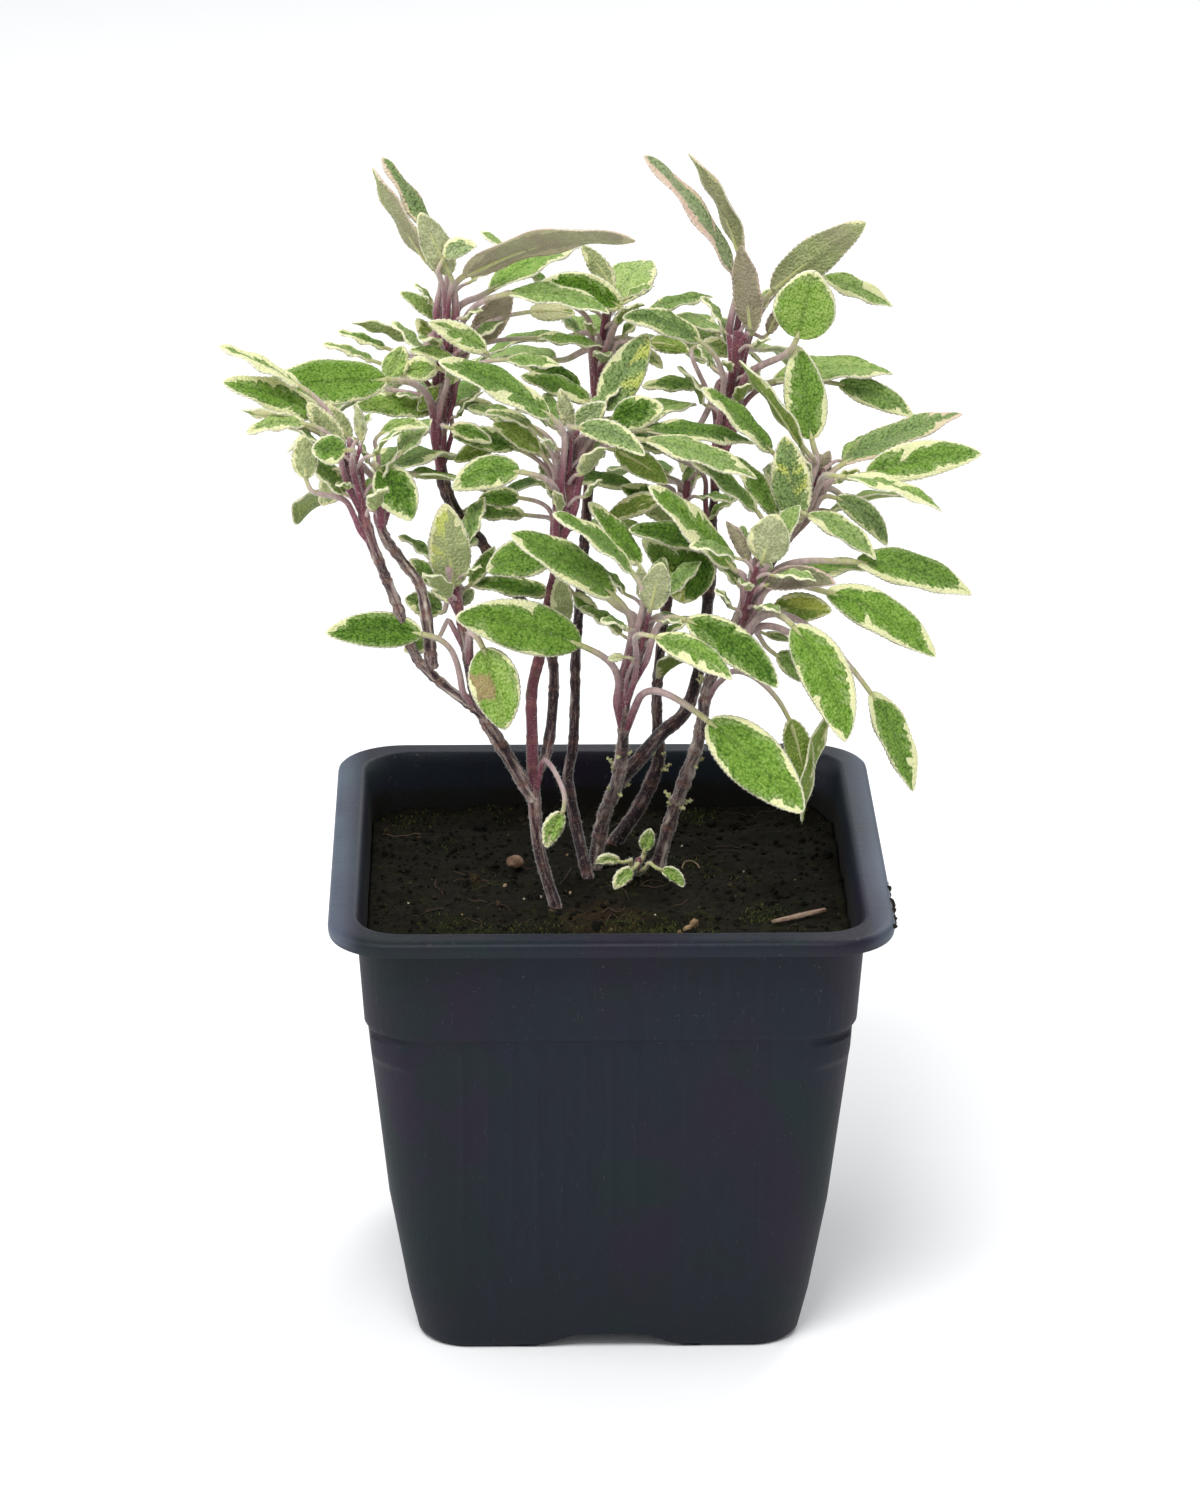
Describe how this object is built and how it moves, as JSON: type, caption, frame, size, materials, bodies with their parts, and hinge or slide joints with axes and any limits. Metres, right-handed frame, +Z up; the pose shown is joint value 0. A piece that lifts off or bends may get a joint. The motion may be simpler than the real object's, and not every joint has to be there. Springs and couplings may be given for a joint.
{
  "type": "potted sage plant",
  "caption": "Young tricolor sage with leafy stems, standing in the soil of a square black plastic nursery pot.",
  "frame": {"origin": "on the ground under the middle of the pot", "axes": "+Z up along the plant, +Y from the front of the plant to its back, +X to the right as seen from the front"},
  "size_m": [0.1352, 0.1003, 0.2108],
  "materials": {
    "pot": "black injection-moulded plastic with a bluish sheen",
    "soil": "dark moist potting soil with a little moss",
    "sage": "softly hairy green leaves with cream margins on purple and woody stems",
    "pebble": "dull stone",
    "bark": "dry bark"
  },
  "bodies": {
    "root": {"pot": "pot", "soil": "soil", "left_stem": "sage", "front_stem": "sage", "right_stem": "sage", "back_left_stem": "sage", "back_right_stem": "sage", "seedling": "sage", "pebble": "pebble", "bark_chip": "bark"}
  },
  "joints": []
}
